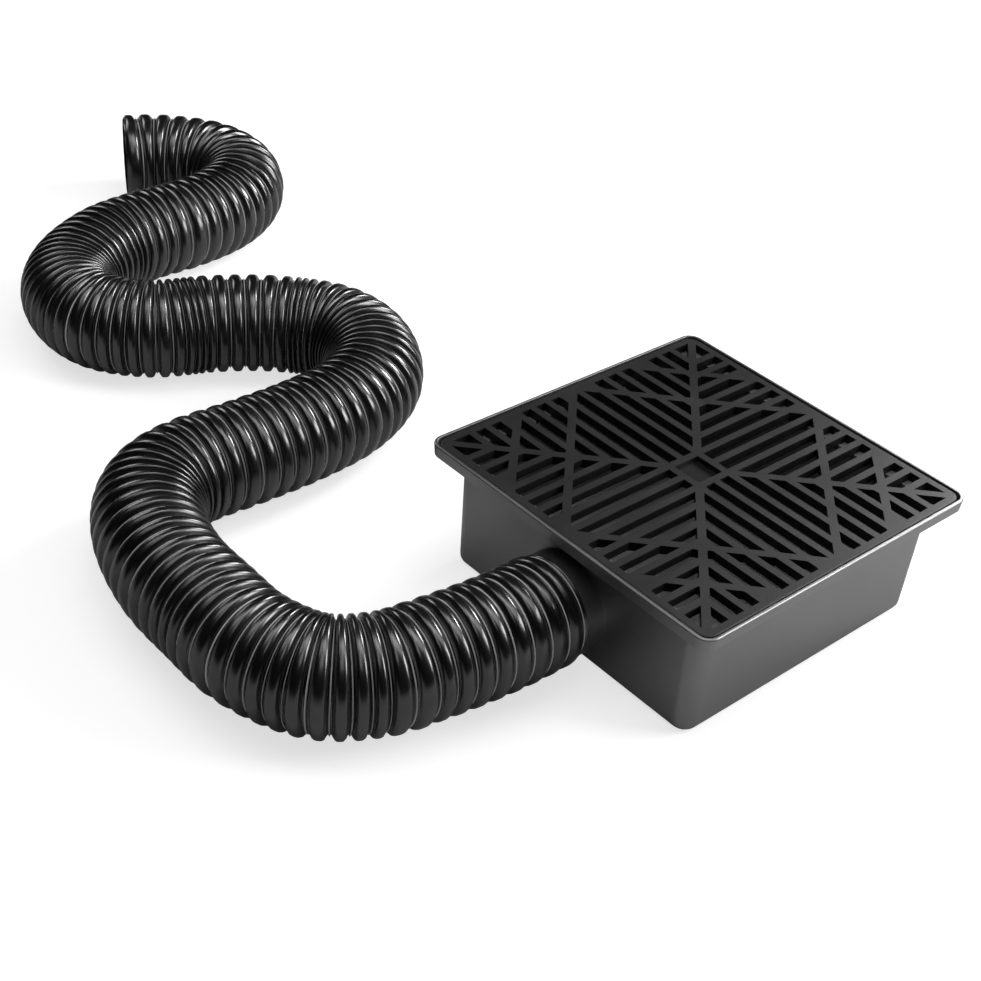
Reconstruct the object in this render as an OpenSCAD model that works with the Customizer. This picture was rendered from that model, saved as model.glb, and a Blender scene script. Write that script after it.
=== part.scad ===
// Square catch basin with a drop-in slotted grate and a corrugated drain hose.
// The origin is the middle of the basin's underside, +Z is up and the outlet points along -X.

/* [Rim] */
// Outside width of the square rim
rim_w = 332; // [300:1:420]
// Height of the rim's top edge above the floor
rim_top = 126; // [118:0.5:200]
// Radius of the rim's corners, seen from above
rim_corner_r = 13; // [10:1:25]
// Thickness of the lip that stands round the grate
lip_t = 3; // [2.5:0.5:4]
// Depth from the rim's top edge down to the ledge that carries the grate
recess_d = 9.5; // [8:0.5:12]
// Thickness of the ledge
ledge_t = 2.5; // [2:0.5:3]
// Rounding of the lip's outer edge
rim_edge_r = 1.5; // [0.5:0.1:2]
// How far the skirt leans inward from the lip's edge down to its lower edge
skirt_draft = 1; // [0:0.25:1]

/* [Tub] */
// How far the rim stands out past the top of the tub's wall
rim_overhang = 18.5; // [10:0.5:22]
// Inward taper of the tub's wall between the ledge and the floor, on each side
draft = 3; // [0:0.5:6]
// Radius of the tub's upright corners just below the ledge
tub_corner_r = 17; // [11:1:30]
// Thickness of the tub's walls
wall_t = 3; // [2:0.5:4]
// Thickness of the tub's floor
floor_t = 3; // [2:0.5:5]
// Rounding of the tub's bottom edge
bottom_edge_r = 9; // [4:0.5:9]

/* [Outlet] */
// How far the collar's end face stands out past the rim
collar_past_rim = 0; // [0:0.5:20]
// Step from the spigot up to the collar, on the radius
collar_step = 3; // [1.5:0.5:4]
// Length of the spigot inside the hose
spigot_l = 39; // [20:1:70]
// Thickness of the spigot's wall
spigot_t = 2.5; // [1.5:0.5:4]
// Chamfer that leads the hose onto the spigot
lead_in = 1.5; // [0.5:0.25:2]

/* [Grate] */
// Gap between the grate and the lip, on each side
grate_gap = 1.5; // [0.5:0.25:3]
// Radius of the grate's corners, seen from above
grate_corner_r = 11; // [9:1:20]
// Thickness of the grate's frame
grate_t = 8.5; // [8.5:0.5:20]
// Width of the grate's frame
frame_w = 7.6; // [6:0.1:9]
// Rounding of the frame's outer top edge
frame_edge_r = 1.5; // [0.5:0.25:3]
// Spacing of the bars
bar_pitch = 18; // [15:0.5:24]
// Width of a bar
bar_w = 7; // [5:0.25:9]
// Depth of a bar below the grate's top
bar_d = 8; // [6:0.5:8]
// Width of the ribs that cross the bars
rib_w = 7.5; // [6:0.25:9]
// Distance from the middle of a side to the foot of a corner rib
corner_rib_at = 68; // [50:1:90]
// Diameter of the bosses where ribs cross
boss_d = 12; // [8:0.5:16]
// Leg of the web that fills the sharp corner between a rib and the frame
web_leg = 24; // [12:1:30]
// How far the centre pad lies below the grate's top
pad_drop = 5; // [1:0.5:5]
// Thickness of the centre pad
pad_t = 2.5; // [2:0.5:3]

/* [Hose] */
// Outside diameter of the hose
hose_d = 100; // [90:1:104]
// Thickness of the hose's skin
hose_skin = 0.8; // [0.6:0.1:2]
// Depth of the corrugations, from the crests to the bore that grips the spigot
hose_grip = 4.5; // [3:0.25:6]
// Gap between the hose's bore and the spigot, on the radius
spigot_gap = 0.4; // [0.2:0.1:1]

/* [Hidden] */
$fn = 48;

rim_half = rim_w / 2;
lip_in = rim_half - lip_t;
ledge_top = rim_top - recess_d;
ledge_bottom = ledge_top - ledge_t;
above_rim = rim_top + 1;

tub_half = rim_half - rim_overhang;
tub_corner_at = tub_half - tub_corner_r;
foot_r = tub_corner_r - draft;
edge_r = min(bottom_edge_r, foot_r);
inner_edge_r = max(edge_r - wall_t, 1);
taper = draft / ledge_bottom;

hose_sides = 12;
hose_r = hose_d / 2;
hose_bore_r = hose_r - hose_grip;
grip_past = 10;
outlet_z = hose_r;
spigot_r = hose_bore_r * cos(180 / hose_sides) - spigot_gap;
bore_r = spigot_r - spigot_t;
collar_r = spigot_r + collar_step;
collar_x = rim_half + collar_past_rim;
spigot_x = collar_x + spigot_l;

grate_half = lip_in - grate_gap;
grate_corner_at = grate_half - grate_corner_r;
grate_top = ledge_top + grate_t;
bar_h = min(bar_d, grate_t);
field_half = grate_half - frame_w;
foot_line = grate_half - frame_w / 2;
corner_foot = grate_corner_at + (grate_corner_r - frame_w / 2) * cos(45);
bars_a_side = floor(field_half / bar_pitch - 1.5);

// The hose's route over the floor, by its middle line, from the collar's face to the open far end
route = [
    [-collar_x, 0], [-206, 0], [-246, 3], [-288, 9], [-330, 18], [-372, 46], [-394, 100], [-396, 156],
    [-394, 216], [-378, 276], [-350, 316], [-308, 332], [-242, 330], [-180, 330], [-120, 338], [-70, 364],
    [-42, 410], [-46, 460], [-86, 506], [-138, 540], [-196, 566], [-232, 608], [-234, 660], [-206, 704],
    [-150, 736], [-96, 744], [-42, 744], [14, 754], [56, 780], [76, 820], [68, 866], [30, 908], [-9, 929]
];
ring_count = 80;

// Rounded square seen from above, by half its width and its corner radius
module rounded_square(half, r) {
    square([2 * half, 2 * (half - r)], center = true);
    square([2 * (half - r), 2 * half], center = true);
    for (x = [-1, 1], y = [-1, 1])
        translate([x * (half - r), y * (half - r)]) circle(r);
}

// Carries a wall's section round a square with turned corners; its x runs outward from the corner's centre
module around_square(corner_at) {
    for (quarter = [0:3])
        rotate(90 * quarter) translate([corner_at, corner_at, 0]) {
            rotate_extrude(angle = 90) children();
            rotate([90, 0, 0]) linear_extrude(height = 2 * corner_at) children();
        }
}

// Points of a quarter arc, from the angle a to a + 90
function quarter_arc(middle, r, a) = [for (i = [0:5]) middle + r * [cos(a + 18 * i), sin(a + 18 * i)]];

// Tapered tub as a solid block: outside of the walls, up to the ledge
module tub_block() {
    edge_x = foot_r + taper * edge_r - edge_r;
    around_square(tub_corner_at)
        polygon(concat([[0, 0]], quarter_arc([edge_x, edge_r], edge_r, -90),
            [[tub_corner_r, ledge_bottom], [0, ledge_bottom]]));
    translate([-tub_corner_at, -tub_corner_at, 0])
        cube([2 * tub_corner_at, 2 * tub_corner_at, ledge_bottom]);
}

// Space inside the tub's walls, open through the ledge
module tub_inside() {
    edge_x = foot_r - wall_t + taper * (floor_t + inner_edge_r) - inner_edge_r;
    around_square(tub_corner_at)
        polygon(concat([[0, floor_t]], quarter_arc([edge_x, floor_t + inner_edge_r], inner_edge_r, -90),
            [[tub_corner_r - wall_t, ledge_bottom], [tub_corner_r - wall_t, above_rim], [0, above_rim]]));
    translate([-tub_corner_at, -tub_corner_at, floor_t])
        cube([2 * tub_corner_at, 2 * tub_corner_at, above_rim - floor_t]);
}

// Ledge under the grate, with the lip above it and the skirt's edge below
module rim() {
    r = rim_corner_r;
    e = rim_edge_r;
    translate([0, 0, ledge_bottom]) linear_extrude(height = ledge_t)
        rounded_square(rim_half - lip_t / 2, r - lip_t / 2);
    around_square(rim_half - r)
        polygon(concat([[r - lip_t, ledge_bottom], [r - skirt_draft, ledge_bottom]],
            quarter_arc([r - e, rim_top - e], e, 0), [[r - lip_t, rim_top]]));
}

// Turned outlet, rooted inside the tub: a collar that the hose butts against, then the spigot in the hose
module outlet() {
    translate([0, 0, outlet_z]) rotate([0, -90, 0]) rotate_extrude()
        polygon([[0, tub_corner_at], [collar_r, tub_corner_at], [collar_r, collar_x], [spigot_r, collar_x],
            [spigot_r, spigot_x - lead_in], [spigot_r - lead_in, spigot_x], [0, spigot_x]]);
}

module outlet_bore() {
    translate([0, 0, outlet_z]) rotate([0, -90, 0]) cylinder(r = bore_r, h = spigot_x + 1);
}

module basin() {
    color([0.07, 0.07, 0.075]) difference() {
        union() {
            tub_block();
            rim();
            outlet();
        }
        tub_inside();
        outlet_bore();
    }
}

// Straight rib between two points of the grate
module rib(from, to, width) {
    run = to - from;
    translate(from) rotate(atan2(run[1], run[0])) translate([0, -width / 2]) square([norm(run), width]);
}

// One of the four like sectors: bars from the diagonals out to the frame on the +Y side
module sector_bars() {
    for (k = [-bars_a_side:bars_a_side]) {
        start = max(abs(k), 1) * bar_pitch;
        translate([k * bar_pitch - bar_w / 2, start]) square([bar_w, foot_line - start]);
    }
}

// Ribs of one corner: the diagonal, the diamond's side and the corner rib, with their bosses and webs
module corner_ribs() {
    rib([bar_pitch, bar_pitch], [corner_foot, corner_foot], rib_w);
    for (at = [0, corner_rib_at]) {
        rib([at, foot_line], [foot_line, at], rib_w);
        translate([1, 1] * (foot_line + at) / 2) circle(d = boss_d);
        translate([at, foot_line]) web();
        translate([foot_line, at]) mirror([1, -1]) web();
    }
}

// Web in the sharp corner between a rib that runs off at 45 degrees and the frame beyond it
module web() {
    polygon(web_leg * [[0, 0], [1, 0], [cos(45), -sin(45)]]);
}

// Square of bars round the centre pad
module centre_square() {
    difference() {
        square(2 * bar_pitch + bar_w, center = true);
        square(2 * bar_pitch - bar_w, center = true);
    }
}

module grate_frame() {
    r = grate_corner_r;
    e = frame_edge_r;
    around_square(grate_corner_at)
        polygon(concat([[r - frame_w, ledge_top], [r, ledge_top]],
            quarter_arc([r - e, grate_top - e], e, 0), [[r - frame_w, grate_top]]));
}

module grate() {
    color([0.13, 0.13, 0.135]) {
        grate_frame();
        translate([0, 0, grate_top - bar_h]) linear_extrude(height = bar_h) {
            for (turn = [0:90:270]) rotate(turn) sector_bars();
            centre_square();
        }
        translate([0, 0, ledge_top]) linear_extrude(height = grate_t)
            for (turn = [0:90:270]) rotate(turn) corner_ribs();
        translate([-bar_pitch, -bar_pitch, grate_top - pad_drop - pad_t])
            cube([2 * bar_pitch, 2 * bar_pitch, pad_t]);
    }
}

// Smooth curve through the route's points; u counts points, and the ends run straight
function route_point(i) = i < 0 ? 2 * route[0] - route[1]
    : i > len(route) - 1 ? 2 * route[len(route) - 1] - route[len(route) - 2] : route[i];
function curve(a, b, c, d, t) =
    (2 * b + (c - a) * t + (2 * a - 5 * b + 4 * c - d) * t * t + (3 * b - a - 3 * c + d) * t * t * t) / 2;
function curve_run(a, b, c, d, t) =
    ((c - a) + 2 * (2 * a - 5 * b + 4 * c - d) * t + 3 * (3 * b - a - 3 * c + d) * t * t) / 2;
function piece_of(u) = min(floor(u), len(route) - 2);
function along(u) = let (i = piece_of(u))
    curve(route_point(i - 1), route_point(i), route_point(i + 1), route_point(i + 2), u - i);
function heading(u) = let (i = piece_of(u),
    run = curve_run(route_point(i - 1), route_point(i), route_point(i + 1), route_point(i + 2), u - i))
    run / norm(run);
function skin_inside(p) = norm(p - route[0]) < spigot_l + grip_past ? hose_bore_r : hose_r - hose_skin;
function ring(u, inside) = let (p = along(u), h = heading(u), r = inside ? skin_inside(p) : hose_r)
    [for (s = [0:hose_sides - 1]) let (a = 360 * s / hose_sides)
        [p[0] - r * cos(a) * h[1], p[1] + r * cos(a) * h[0], hose_r + r * sin(a)]];

// Plain tube of the hose's outer size, open at both ends, thicker where its corrugations grip the spigot
module hose() {
    last = ring_count - 1;
    points = [for (inside = [false, true], k = [0:last])
        each ring(k * (len(route) - 1) / last, inside)];
    inner = ring_count * hose_sides;
    next = [for (s = [0:hose_sides - 1]) (s + 1) % hose_sides];
    outer_faces = [for (k = [0:last - 1], s = [0:hose_sides - 1]) let (a = k * hose_sides, b = a + hose_sides)
        [a + s, b + s, b + next[s], a + next[s]]];
    inner_faces = [for (k = [0:last - 1], s = [0:hose_sides - 1])
        let (a = inner + k * hose_sides, b = a + hose_sides)
        [a + s, a + next[s], b + next[s], b + s]];
    near_end = [for (s = [0:hose_sides - 1]) [s, next[s], inner + next[s], inner + s]];
    far_end = [for (s = [0:hose_sides - 1]) let (a = last * hose_sides)
        [a + s, inner + a + s, inner + a + next[s], a + next[s]]];
    color([0.03, 0.03, 0.035]) polyhedron(points, concat(outer_faces, inner_faces, near_end, far_end));
}

basin();
grate();
hose();
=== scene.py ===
import math

import bmesh
import bpy
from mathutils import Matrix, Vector


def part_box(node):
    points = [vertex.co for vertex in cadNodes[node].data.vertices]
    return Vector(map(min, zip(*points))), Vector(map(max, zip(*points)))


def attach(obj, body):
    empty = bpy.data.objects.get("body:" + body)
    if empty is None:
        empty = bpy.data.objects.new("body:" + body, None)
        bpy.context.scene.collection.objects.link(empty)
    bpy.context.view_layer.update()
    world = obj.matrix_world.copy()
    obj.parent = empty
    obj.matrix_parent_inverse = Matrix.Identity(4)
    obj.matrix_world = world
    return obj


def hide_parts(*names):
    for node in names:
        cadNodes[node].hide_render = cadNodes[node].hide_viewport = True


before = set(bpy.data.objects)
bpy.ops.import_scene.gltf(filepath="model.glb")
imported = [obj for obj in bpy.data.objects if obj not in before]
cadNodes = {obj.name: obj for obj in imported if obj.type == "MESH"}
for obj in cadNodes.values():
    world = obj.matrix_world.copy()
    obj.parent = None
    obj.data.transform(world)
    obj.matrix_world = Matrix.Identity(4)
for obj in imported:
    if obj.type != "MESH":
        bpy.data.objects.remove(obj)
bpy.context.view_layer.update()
print("stage 1: the packed model is loaded")


# camera: fitted to the straight edges of the rim and the spacing of the bars

cameraSettings = {
    "place": (-0.97192, -0.74573, 0.94485),
    "turn": (54.405, -4.514, -40.978),     # degrees
    "lens": 62.2,
    "sensor": 36.0,
}


def makeCamera(settings):
    data = bpy.data.cameras.new("photoCamera")
    data.lens = settings["lens"]
    data.sensor_width = settings["sensor"]
    data.sensor_fit = "HORIZONTAL"
    camera = bpy.data.objects.new("photoCamera", data)
    camera.location = settings["place"]
    camera.rotation_euler = [math.radians(angle) for angle in settings["turn"]]
    bpy.context.scene.collection.objects.link(camera)
    bpy.context.scene.camera = camera
    return camera


makeCamera(cameraSettings)
print("stage 2: camera")


# helpers for meshes

def meshObject(name, bm, material, smoothAngle):
    mesh = bpy.data.meshes.new(name)
    bm.to_mesh(mesh)
    bm.free()
    mesh.materials.append(material)
    mesh.polygons.foreach_set("use_smooth", [True] * len(mesh.polygons))
    mesh.set_sharp_from_angle(angle=math.radians(smoothAngle))
    piece = bpy.data.objects.new(name, mesh)
    bpy.context.scene.collection.objects.link(piece)
    return piece


# shared shader groups

def newGroup(name, inputs, outputs):
    group = bpy.data.node_groups.new(name, "ShaderNodeTree")
    for title, kind, value in inputs:
        socket = group.interface.new_socket(name=title, in_out="INPUT", socket_type=kind)
        if value is not None:
            socket.default_value = value
    for title, kind in outputs:
        group.interface.new_socket(name=title, in_out="OUTPUT", socket_type=kind)
    start = group.nodes.new("NodeGroupInput")
    end = group.nodes.new("NodeGroupOutput")
    return group, start, end


def addNode(tree, kind, **values):
    node = tree.nodes.new(kind)
    for key, value in values.items():
        setattr(node, key, value)
    return node


def noiseNode(tree, vector, scale, detail=3.0, roughness=0.5):
    noise = addNode(tree, "ShaderNodeTexNoise")
    noise.inputs["Scale"].default_value = scale
    noise.inputs["Detail"].default_value = detail
    noise.inputs["Roughness"].default_value = roughness
    tree.links.new(vector, noise.inputs["Vector"])
    return noise


def rangeNode(tree, value, low, high, toLow, toHigh):
    spread = addNode(tree, "ShaderNodeMapRange")
    spread.inputs["From Min"].default_value = low
    spread.inputs["From Max"].default_value = high
    spread.inputs["To Min"].default_value = toLow
    spread.inputs["To Max"].default_value = toHigh
    tree.links.new(value, spread.inputs["Value"])
    return spread.outputs["Result"]


def mathNode(tree, operation, first, second):
    node = addNode(tree, "ShaderNodeMath", operation=operation)
    for place, value in enumerate((first, second)):
        if isinstance(value, (int, float)):
            node.inputs[place].default_value = value
        else:
            tree.links.new(value, node.inputs[place])
    return node.outputs["Value"]


# the fine grain, the slow unevenness and the handling marks that moulded black plastic has
def makePlasticGroup():
    group, start, end = newGroup(
        "mouldedPlastic",
        [("Vector", "NodeSocketVector", None), ("Color", "NodeSocketColor", (0.05, 0.05, 0.05, 1.0)),
         ("Roughness", "NodeSocketFloat", 0.4), ("Grain", "NodeSocketFloat", 0.3),
         ("Dust", "NodeSocketFloat", 0.1)],
        [("Color", "NodeSocketColor"), ("Roughness", "NodeSocketFloat"), ("Height", "NodeSocketFloat")])
    link = group.links.new
    fine = noiseNode(group, start.outputs["Vector"], 900.0, 2.0)
    wide = noiseNode(group, start.outputs["Vector"], 14.0, 3.0)
    marks = noiseNode(group, start.outputs["Vector"], 75.0, 5.0, 0.62)
    dustMask = mathNode(group, "MULTIPLY", rangeNode(group, marks.outputs["Fac"], 0.52, 0.72, 0.0, 1.0),
                        start.outputs["Dust"])
    tone = addNode(group, "ShaderNodeMix", data_type="RGBA")
    tone.inputs["B"].default_value = (0.32, 0.31, 0.29, 1.0)
    link(dustMask, tone.inputs["Factor"])
    link(start.outputs["Color"], tone.inputs["A"])
    shade = addNode(group, "ShaderNodeHueSaturation")
    link(rangeNode(group, wide.outputs["Fac"], 0.3, 0.7, 0.9, 1.1), shade.inputs["Value"])
    link(tone.outputs["Result"], shade.inputs["Color"])
    link(shade.outputs["Color"], end.inputs["Color"])
    worn = mathNode(group, "MULTIPLY", start.outputs["Roughness"],
                    rangeNode(group, wide.outputs["Fac"], 0.3, 0.7, 0.88, 1.14))
    link(mathNode(group, "ADD", worn, mathNode(group, "MULTIPLY", dustMask, 0.25)), end.inputs["Roughness"])
    link(mathNode(group, "MULTIPLY", fine.outputs["Fac"], start.outputs["Grain"]), end.inputs["Height"])
    return group


plasticGroup = makePlasticGroup()


def plasticMaterial(name, settings):
    material = bpy.data.materials.new(name)
    material.use_nodes = True
    tree = material.node_tree
    shader = tree.nodes["Principled BSDF"]
    place = addNode(tree, "ShaderNodeTexCoord")
    plastic = addNode(tree, "ShaderNodeGroup", node_tree=plasticGroup, name="plastic")
    plastic.inputs["Color"].default_value = (*settings["color"], 1.0)
    plastic.inputs["Roughness"].default_value = settings["roughness"]
    plastic.inputs["Grain"].default_value = settings["grain"]
    plastic.inputs["Dust"].default_value = settings["dust"]
    tree.links.new(place.outputs["Object"], plastic.inputs["Vector"])
    bump = addNode(tree, "ShaderNodeBump", name="bump")
    bump.inputs["Strength"].default_value = settings["bump"]
    bump.inputs["Distance"].default_value = 0.0004
    tree.links.new(plastic.outputs["Height"], bump.inputs["Height"])
    tree.links.new(plastic.outputs["Color"], shader.inputs["Base Color"])
    tree.links.new(plastic.outputs["Roughness"], shader.inputs["Roughness"])
    tree.links.new(bump.outputs["Normal"], shader.inputs["Normal"])
    shader.inputs["IOR"].default_value = settings["ior"]
    shader.inputs["Specular IOR Level"].default_value = settings["specular"]
    material.diffuse_color = (*settings["color"], 1.0)
    return material


# hose: a corrugated tube along the route that part.scad gives

hoseSettings = {
    "route": [
        (-166, 0), (-206, 0), (-246, 3), (-288, 9), (-330, 18), (-372, 46), (-394, 100), (-396, 156),
        (-394, 216), (-378, 276), (-350, 316), (-308, 332), (-242, 330), (-180, 330), (-120, 338),
        (-70, 364), (-42, 410), (-46, 460), (-86, 506), (-138, 540), (-196, 566), (-232, 608),
        (-234, 660), (-206, 704), (-150, 736), (-96, 744), (-42, 744), (14, 754), (56, 780),
        (76, 820), (68, 866), (30, 908), (-9, 929)],
    "height": 0.050,
    "crestRadius": 0.0499,
    "wall": 0.0008,
    # how far apart the folds lie, as (place along the hose, spacing), both in mm
    "spacing": [
        (0, 16.8), (140, 17.0), (165, 12.4), (225, 10.9), (265, 15.4), (330, 13.7), (430, 15.9),
        (490, 9.9), (540, 15.0), (575, 17.3), (690, 15.8), (790, 13.0), (830, 11.5), (915, 13.2),
        (938, 5.0), (955, 17.6), (1030, 15.8), (1046, 5.5), (1070, 11.6), (1150, 10.0), (1240, 9.8),
        (1275, 14.8), (1330, 12.2), (1385, 18.5), (1480, 13.5), (1560, 15.0), (1640, 18.0), (1740, 20.0)],
    "firstFold": 0.21,
    # one fold from bead to bead, as (share of the fold, depth below the crest in mm); the bead stands in the
    # groove between two crests
    "fold": [
        (0.0, 3.8), (0.045, 5.2), (0.075, 5.6), (0.105, 5.0), (0.15, 3.7), (0.20, 2.3), (0.25, 1.2),
        (0.31, 0.4), (0.40, 0.0), (0.60, 0.0), (0.69, 0.4), (0.75, 1.2), (0.80, 2.3), (0.85, 3.7),
        (0.895, 5.0), (0.925, 5.6), (0.955, 5.2)],
    "inside": [(0.0, 5.6), (0.5, 0.0)],
    "steps": 40,
    # over the spigot the folds are pulled flatter: share of their depth, and where it is full, in m
    "gripShare": 0.72,
    "gripEnd": (0.045, 0.080),
}


def routePoints(settings, eachSpan=40):
    points = [Vector((x / 1000, y / 1000)) for x, y in settings["route"]]
    points = [2 * points[0] - points[1]] + points + [2 * points[-1] - points[-2]]
    found = []
    for i in range(1, len(points) - 2):
        before, here, there, after = points[i - 1:i + 3]
        for k in range(eachSpan):
            t = k / eachSpan
            found.append(0.5 * (2 * here + (there - before) * t
                                + (2 * before - 5 * here + 4 * there - after) * t * t
                                + (3 * here - before - 3 * there + after) * t * t * t))
    found.append(points[-2])
    lengths = [0.0]
    for first, second in zip(found, found[1:]):
        lengths.append(lengths[-1] + (second - first).length)
    return found, lengths


def alongRoute(points, lengths, distance):
    low, high = 0, len(lengths) - 1
    while high - low > 1:
        middle = (low + high) // 2
        if lengths[middle] <= distance:
            low = middle
        else:
            high = middle
    share = (distance - lengths[low]) / (lengths[low + 1] - lengths[low])
    place = points[low].lerp(points[low + 1], share)
    back = points[max(low - 1, 0)]
    ahead = points[min(low + 2, len(points) - 1)]
    heading = (points[low + 1] - points[low]).normalized()
    heading = (heading + (ahead - back).normalized()).normalized()
    return place, heading


def spacingAt(settings, distance):
    table = settings["spacing"]
    for (a, first), (b, second) in zip(table, table[1:]):
        if distance * 1000 <= b:
            return (first + (second - first) * (distance * 1000 - a) / (b - a)) / 1000
    return table[-1][1] / 1000


def foldStarts(settings, length):
    starts = []
    count = -settings["firstFold"]
    step = 0.0005
    distance = 0.0
    while distance < length:
        following = count + step / spacingAt(settings, distance + step / 2)
        if math.floor(following) > math.floor(count):
            starts.append(distance + step * (math.floor(following) - count) / (following - count))
        count = following
        distance += step
    return starts


def foldDepth(settings, distance):
    low, high = settings["gripEnd"]
    share = min(max((distance - low) / (high - low), 0.0), 1.0)
    return settings["gripShare"] + (1.0 - settings["gripShare"]) * share


def makeHose(settings):
    points, lengths = routePoints(settings)
    length = lengths[-1]
    starts = foldStarts(settings, length)
    starts = [starts[0] - (starts[1] - starts[0])] + starts
    starts.append(2 * starts[-1] - starts[-2])
    outside = []
    inside = []
    for k, (first, second) in enumerate(zip(starts, starts[1:])):
        deep = foldDepth(settings, first)
        for share, depth in settings["fold"]:
            outside.append((first + (second - first) * share,
                            settings["crestRadius"] - deep * depth / 1000, k + share))
        for share, depth in settings["inside"]:
            inside.append((first + (second - first) * share,
                           settings["crestRadius"] - settings["wall"] - deep * depth / 1000, k + share))
    outside = [row for row in outside if 0.0004 < row[0] < length - 0.0004]
    inside = [row for row in inside if 0.0004 < row[0] < length - 0.0004]
    outside = [(0.0, outside[0][1], outside[0][2])] + outside + [(length, outside[-1][1], outside[-1][2])]
    wall = settings["wall"]
    inside = [(0.0, outside[0][1] - wall, outside[0][2])] + inside + [(length, outside[-1][1] - wall, outside[-1][2])]
    profile = outside + inside[::-1]

    bm = bmesh.new()
    foldLayer = bm.verts.layers.float.new("fold")
    corners = []
    for distance, radius, fold in profile:
        corner = bm.verts.new((distance, radius, 0.0))
        corner[foldLayer] = fold
        corners.append(corner)
    edges = [bm.edges.new((corners[i], corners[(i + 1) % len(corners)])) for i in range(len(corners))]
    bmesh.ops.spin(bm, geom=corners + edges, cent=(0, 0, 0), axis=(1, 0, 0), angle=2 * math.pi,
                   steps=settings["steps"], use_merge=True)
    bmesh.ops.recalc_face_normals(bm, faces=bm.faces)
    uvLayer = bm.loops.layers.uv.new("folds")
    for face in bm.faces:
        angles = [math.atan2(loop.vert.co.z, loop.vert.co.y) / (2 * math.pi) for loop in face.loops]
        for loop, angle in zip(face.loops, angles):
            if max(angles) - min(angles) > 0.5 and angle < 0:
                angle += 1.0
            loop[uvLayer].uv = (loop.vert[foldLayer], angle)
    rings = {}
    for vert in bm.verts:
        key = round(vert.co.x, 7)
        if key not in rings:
            rings[key] = alongRoute(points, lengths, min(max(vert.co.x, 0.0), length))
        place, heading = rings[key]
        side, up = vert.co.y, vert.co.z
        vert.co = (place.x - heading.y * side, place.y + heading.x * side, settings["height"] + up)
    path = []
    for k in range(241):
        place, heading = alongRoute(points, lengths, length * k / 240)
        path.append((place.x, place.y, settings["height"]))
    return bm, path, length


# the bead between two crests is painted near-white as a painted highlight, and fine mould lines run beside it on the
# crest's shoulders
def makeFoldGroup():
    group, start, end = newGroup(
        "foldRings",
        [("Vector", "NodeSocketVector", None), ("Fold", "NodeSocketVector", None)],
        [("BeadHighlight", "NodeSocketFloat"), ("Lines", "NodeSocketFloat")])
    link = group.links.new
    split = addNode(group, "ShaderNodeSeparateXYZ")
    link(start.outputs["Fold"], split.inputs["Vector"])
    share = mathNode(group, "FRACT", split.outputs["X"], 0.0)
    fromBead = mathNode(group, "PINGPONG", split.outputs["X"], 0.5)
    # mask of the painted highlight along the bead
    link(rangeNode(group, fromBead, 0.012, 0.042, 1.0, 0.0), end.inputs["BeadHighlight"])
    patches = noiseNode(group, start.outputs["Vector"], 22.0, 2.0)
    strength = rangeNode(group, patches.outputs["Fac"], 0.42, 0.62, 0.15, 1.0)
    first = rangeNode(group, mathNode(group, "ABSOLUTE", mathNode(group, "SUBTRACT", share, 0.21), 0.0),
                      0.0, 0.022, 1.0, 0.0)
    second = rangeNode(group, mathNode(group, "ABSOLUTE", mathNode(group, "SUBTRACT", share, 0.80), 0.0),
                       0.0, 0.022, 1.0, 0.0)
    lines = mathNode(group, "MAXIMUM", first, second)
    link(mathNode(group, "MULTIPLY", lines, strength), end.inputs["Lines"])
    return group


def hosePlastic(name, settings):
    material = plasticMaterial(name, settings)
    tree = material.node_tree
    shader = tree.nodes["Principled BSDF"]
    plastic = tree.nodes["plastic"]
    bump = tree.nodes["bump"]
    place = addNode(tree, "ShaderNodeTexCoord")
    folds = addNode(tree, "ShaderNodeUVMap", uv_map="folds")
    rings = addNode(tree, "ShaderNodeGroup", node_tree=makeFoldGroup())
    tree.links.new(place.outputs["Object"], rings.inputs["Vector"])
    tree.links.new(folds.outputs["UV"], rings.inputs["Fold"])
    # the bead's painted highlight is mixed into the base colour
    tone = addNode(tree, "ShaderNodeMix", data_type="RGBA")
    tone.inputs["B"].default_value = (*settings["beadHighlightColor"], 1.0)
    tree.links.new(rings.outputs["BeadHighlight"], tone.inputs["Factor"])
    tree.links.new(plastic.outputs["Color"], tone.inputs["A"])
    tree.links.new(tone.outputs["Result"], shader.inputs["Base Color"])
    height = mathNode(tree, "ADD", plastic.outputs["Height"],
                      mathNode(tree, "MULTIPLY", rings.outputs["Lines"], settings["lineHeight"]))
    tree.links.new(height, bump.inputs["Height"])
    return material


# the bead colour below is a painted highlight, not the hose's own colour
hoseFinish = {"color": (0.005, 0.005, 0.0055), "roughness": 0.25, "grain": 0.03, "dust": 0.005,
              "bump": 0.25, "ior": 1.6, "specular": 0.75, "beadHighlightColor": (0.9, 0.9, 0.9),
              "lineHeight": 0.12}
hoseMaterial = hosePlastic("shinyHosePlastic", hoseFinish)
hoseMesh, hosePath, hoseLength = makeHose(hoseSettings)
hose = meshObject("corrugatedHose", hoseMesh, hoseMaterial, 80)
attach(hose, "root")
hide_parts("hose")
print("stage 3: hose,", len(hose.data.polygons), "faces,", round(hoseLength, 4), "m long")


# basin and grate: the CAD forms with their edges broken as a mould leaves them

basinSettings = {"bevel": 0.0005, "segments": 2, "sharp": 28.0}
grateSettings = {"bevel": 0.0005, "segments": 2, "sharp": 28.0}
basinFinish = {"color": (0.03, 0.03, 0.031), "roughness": 0.38, "grain": 0.3, "dust": 0.01,
               "bump": 0.2, "ior": 2.1, "specular": 0.85, "insideHalf": 0.132, "insideRoughness": 0.85}
# the scuff colour of the grate is painted light on the tops of the bars
grateFinish = {"color": (0.006, 0.006, 0.0062), "roughness": 0.42, "grain": 0.7, "dust": 0.015,
               "bump": 0.4, "ior": 1.5, "specular": 0.25, "paintedTopColor": (0.018, 0.018, 0.0185)}


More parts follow.
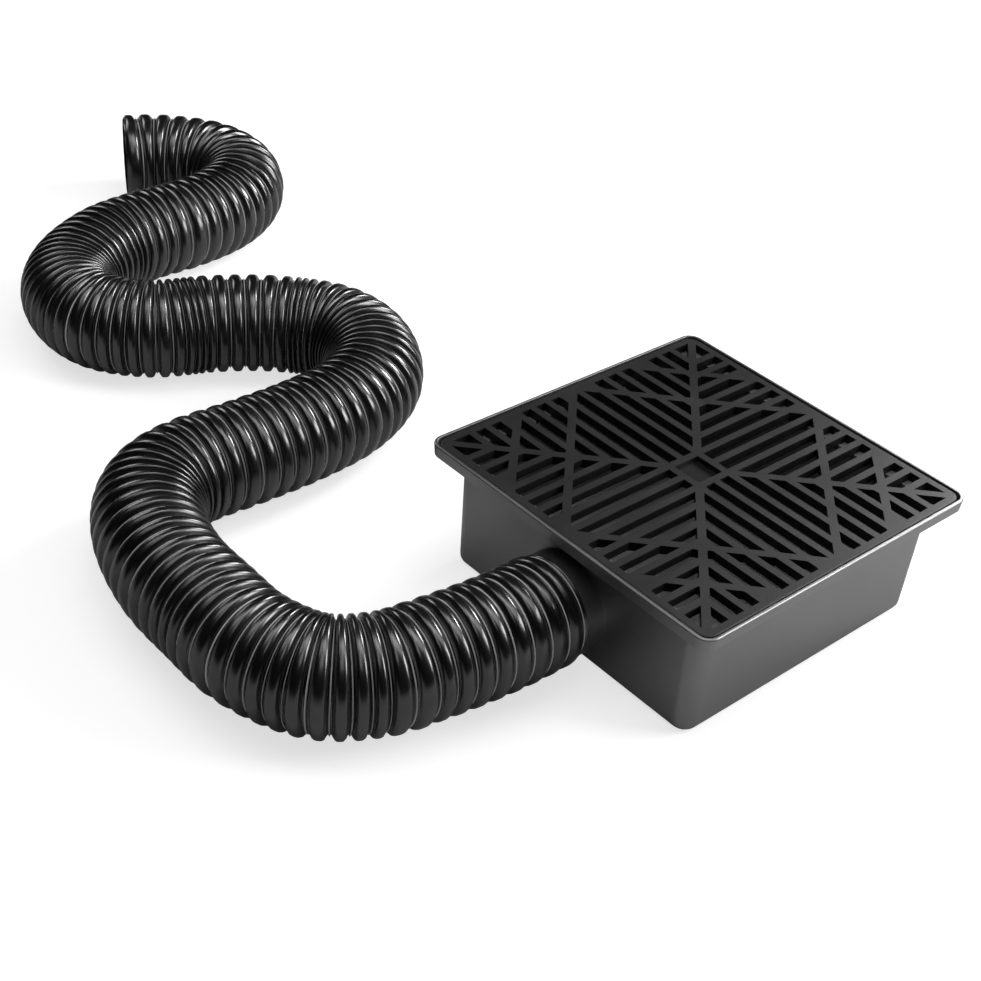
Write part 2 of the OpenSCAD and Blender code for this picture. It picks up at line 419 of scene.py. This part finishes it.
def mergedCopy(node, name, material, settings):
    bm = bmesh.new()
    bm.from_mesh(cadNodes[node].data)
    bmesh.ops.remove_doubles(bm, verts=bm.verts, dist=0.00001)
    bmesh.ops.dissolve_limit(bm, angle_limit=math.radians(0.6), verts=bm.verts, edges=bm.edges)
    limit = math.radians(settings["sharp"])
    sharp = [edge for edge in bm.edges if edge.is_manifold and edge.calc_face_angle(0.0) > limit]
    bmesh.ops.bevel(bm, geom=sharp, offset=settings["bevel"], offset_type="OFFSET",
                    segments=settings["segments"], profile=0.5, affect="EDGES", clamp_overlap=True,
                    material=-1)
    piece = meshObject(name, bm, material, 35)
    weighted = piece.modifiers.new("flatFaces", "WEIGHTED_NORMAL")
    weighted.keep_sharp = True
    weighted.weight = 100
    return piece


# the tops of the bars are painted lighter than their sides and the sunk pad: painted light on the tops and painted
# shade on the sides and in the pad, broken into patches
def makeTopLightGroup():
    group, start, end = newGroup(
        "paintedTopLight",
        [("Vector", "NodeSocketVector", None), ("Top", "NodeSocketFloat", 0.125)],
        [("TopLight", "NodeSocketFloat")])
    link = group.links.new
    split = addNode(group, "ShaderNodeSeparateXYZ")
    link(start.outputs["Vector"], split.inputs["Vector"])
    below = mathNode(group, "SUBTRACT", start.outputs["Top"], split.outputs["Z"])
    patches = noiseNode(group, start.outputs["Vector"], 30.0, 4.0, 0.6)
    amount = rangeNode(group, patches.outputs["Fac"], 0.3, 0.7, 0.7, 1.0)
    # painted light on the top faces, falling to painted shade just below them
    link(mathNode(group, "MULTIPLY", rangeNode(group, below, 0.0003, 0.0012, 1.0, 0.0), amount),
         end.inputs["TopLight"])
    return group


def gratePlastic(name, settings, top):
    material = plasticMaterial(name, settings)
    tree = material.node_tree
    shader = tree.nodes["Principled BSDF"]
    plastic = tree.nodes["plastic"]
    place = addNode(tree, "ShaderNodeTexCoord")
    topLight = addNode(tree, "ShaderNodeGroup", node_tree=makeTopLightGroup())
    topLight.inputs["Top"].default_value = top
    tree.links.new(place.outputs["Object"], topLight.inputs["Vector"])
    # painted light on the bar tops, mixed into the base colour
    tone = addNode(tree, "ShaderNodeMix", data_type="RGBA")
    tone.inputs["B"].default_value = (*settings["paintedTopColor"], 1.0)
    tree.links.new(topLight.outputs["TopLight"], tone.inputs["Factor"])
    tree.links.new(plastic.outputs["Color"], tone.inputs["A"])
    tree.links.new(tone.outputs["Result"], shader.inputs["Base Color"])
    return material


# inside the tub the moulding is left dull
def makeInsideGroup():
    group, start, end = newGroup(
        "dullInside",
        [("Vector", "NodeSocketVector", None), ("Half", "NodeSocketFloat", 0.13)],
        [("Inside", "NodeSocketFloat")])
    split = addNode(group, "ShaderNodeSeparateXYZ")
    group.links.new(start.outputs["Vector"], split.inputs["Vector"])
    wide = mathNode(group, "MAXIMUM", mathNode(group, "ABSOLUTE", split.outputs["X"], 0.0),
                    mathNode(group, "ABSOLUTE", split.outputs["Y"], 0.0))
    # from the ledge upwards the inside is wider
    ledge = rangeNode(group, split.outputs["Z"], 0.1105, 0.1115, 0.0, 0.026)
    half = mathNode(group, "ADD", start.outputs["Half"], ledge)
    beyond = mathNode(group, "SUBTRACT", wide, half)
    group.links.new(rangeNode(group, beyond, -0.002, 0.0, 1.0, 0.0), end.inputs["Inside"])
    return group


def basinPlastic(name, settings):
    material = plasticMaterial(name, settings)
    tree = material.node_tree
    shader = tree.nodes["Principled BSDF"]
    plastic = tree.nodes["plastic"]
    place = addNode(tree, "ShaderNodeTexCoord")
    inside = addNode(tree, "ShaderNodeGroup", node_tree=makeInsideGroup())
    inside.inputs["Half"].default_value = settings["insideHalf"]
    tree.links.new(place.outputs["Object"], inside.inputs["Vector"])
    dull = mathNode(tree, "MULTIPLY", inside.outputs["Inside"], settings["insideRoughness"])
    tree.links.new(mathNode(tree, "MAXIMUM", plastic.outputs["Roughness"], dull), shader.inputs["Roughness"])
    return material


basinMaterial = basinPlastic("satinBasinPlastic", basinFinish)
grateMaterial = gratePlastic("dullGratePlastic", grateFinish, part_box("grate")[1][2])
basin = mergedCopy("basin", "basinShell", basinMaterial, basinSettings)
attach(basin, "root")
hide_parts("basin")
print("stage 4: basin,", len(basin.data.polygons), "faces")
grate = mergedCopy("grate", "slottedGrate", grateMaterial, grateSettings)
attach(grate, "root")
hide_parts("grate")
print("stage 5: grate,", len(grate.data.polygons), "faces")


# floor, world and lamps

stageSettings = {
    "floorSize": 8.0,
    "floorColor": (0.48, 0.48, 0.48),
    "floorGlow": 0.7,
    "mirrorGlow": 0.03,
    "worldLow": 0.0036,
    "worldHigh": 0.001,
    "backdropGlow": 1.0,
    "fade": (1.6, 2.8),                    # m from the middle of the floor
}

lampSettings = [
    # name, place, looks at, width, height, watts
    ("topSoftbox", (0.01, 0.20, 2.02), (-0.13, 0.20, 0.03), 0.9, 0.9, 9.0),
    ("highSoftbox", (0.51, -0.44, 1.81), (-0.13, 0.20, 0.03), 0.9, 0.9, 6.0),
    ("farSoftbox", (1.60, 0.20, 1.04), (-0.13, 0.20, 0.03), 0.5, 0.6, 27.0),
    ("rightSoftbox", (1.12, -1.05, 0.97), (-0.13, 0.20, 0.03), 0.8, 1.0, 26.0),
    ("backSoftbox", (-0.13, 2.00, 0.91), (-0.13, 0.20, 0.03), 0.8, 0.6, 5.5),
    ("leftSoftbox", (-0.77, -0.44, 1.81), (-0.13, 0.20, 0.03), 0.9, 0.9, 4.0),
    ("cornerSoftbox", (-0.77, 0.84, 1.81), (-0.13, 0.20, 0.03), 0.9, 0.9, 5.0),
]


def makeFloor(settings):
    material = bpy.data.materials.new("paleFloor")
    material.use_nodes = True
    tree = material.node_tree
    tree.nodes.clear()
    diffuse = addNode(tree, "ShaderNodeBsdfDiffuse")
    diffuse.inputs["Color"].default_value = (*settings["floorColor"], 1.0)
    glow = addNode(tree, "ShaderNodeEmission")
    rays = addNode(tree, "ShaderNodeLightPath")
    mirrored = mathNode(tree, "MAXIMUM", rays.outputs["Is Glossy Ray"], rays.outputs["Is Transmission Ray"])
    mirrored = mathNode(tree, "MULTIPLY", mirrored, settings["mirrorGlow"])
    # away from the object the floor goes over into the backdrop
    place = addNode(tree, "ShaderNodeTexCoord")
    away = addNode(tree, "ShaderNodeVectorMath", operation="LENGTH")
    tree.links.new(place.outputs["Object"], away.inputs[0])
    near, far = settings["fade"]
    glowing = rangeNode(tree, away.outputs["Value"], near, far, settings["floorGlow"], settings["backdropGlow"])
    seen = mathNode(tree, "MULTIPLY", rays.outputs["Is Camera Ray"], glowing)
    tree.links.new(mathNode(tree, "ADD", seen, mirrored), glow.inputs["Strength"])
    both = addNode(tree, "ShaderNodeAddShader")
    out = addNode(tree, "ShaderNodeOutputMaterial")
    tree.links.new(diffuse.outputs["BSDF"], both.inputs[0])
    tree.links.new(glow.outputs["Emission"], both.inputs[1])
    tree.links.new(both.outputs["Shader"], out.inputs["Surface"])
    bm = bmesh.new()
    bmesh.ops.create_grid(bm, x_segments=1, y_segments=1, size=settings["floorSize"])
    mesh = bpy.data.meshes.new("floor")
    bm.to_mesh(mesh)
    bm.free()
    mesh.materials.append(material)
    floor = bpy.data.objects.new("floor", mesh)
    floor.location.z = -0.0002
    bpy.context.scene.collection.objects.link(floor)


def makeWorld(settings):
    world = bpy.data.worlds.new("studio")
    world.use_nodes = True
    tree = world.node_tree
    background = tree.nodes["Background"]
    background.inputs["Color"].default_value = (1.0, 1.0, 1.0, 1.0)
    place = addNode(tree, "ShaderNodeTexCoord")
    split = addNode(tree, "ShaderNodeSeparateXYZ")
    tree.links.new(place.outputs["Generated"], split.inputs["Vector"])
    rays = addNode(tree, "ShaderNodeLightPath")
    seen = mathNode(tree, "MULTIPLY", rays.outputs["Is Camera Ray"], settings["backdropGlow"])
    light = rangeNode(tree, split.outputs["Z"], 0.0, 0.6, settings["worldLow"], settings["worldHigh"])
    tree.links.new(mathNode(tree, "MAXIMUM", light, seen), background.inputs["Strength"])
    bpy.context.scene.world = world


def makeLamps(rows):
    for name, place, target, width, height, watts in rows:
        data = bpy.data.lights.new(name, "AREA")
        data.shape = "RECTANGLE"
        data.size = width
        data.size_y = height
        data.energy = watts
        lamp = bpy.data.objects.new(name, data)
        lamp.location = place
        lamp.rotation_euler = (Vector(target) - Vector(place)).to_track_quat("-Z", "Y").to_euler()
        bpy.context.scene.collection.objects.link(lamp)


makeFloor(stageSettings)
makeWorld(stageSettings)
makeLamps(lampSettings)
bpy.context.scene.view_settings.view_transform = "Standard"
print("stage 6: floor, world and lamps")
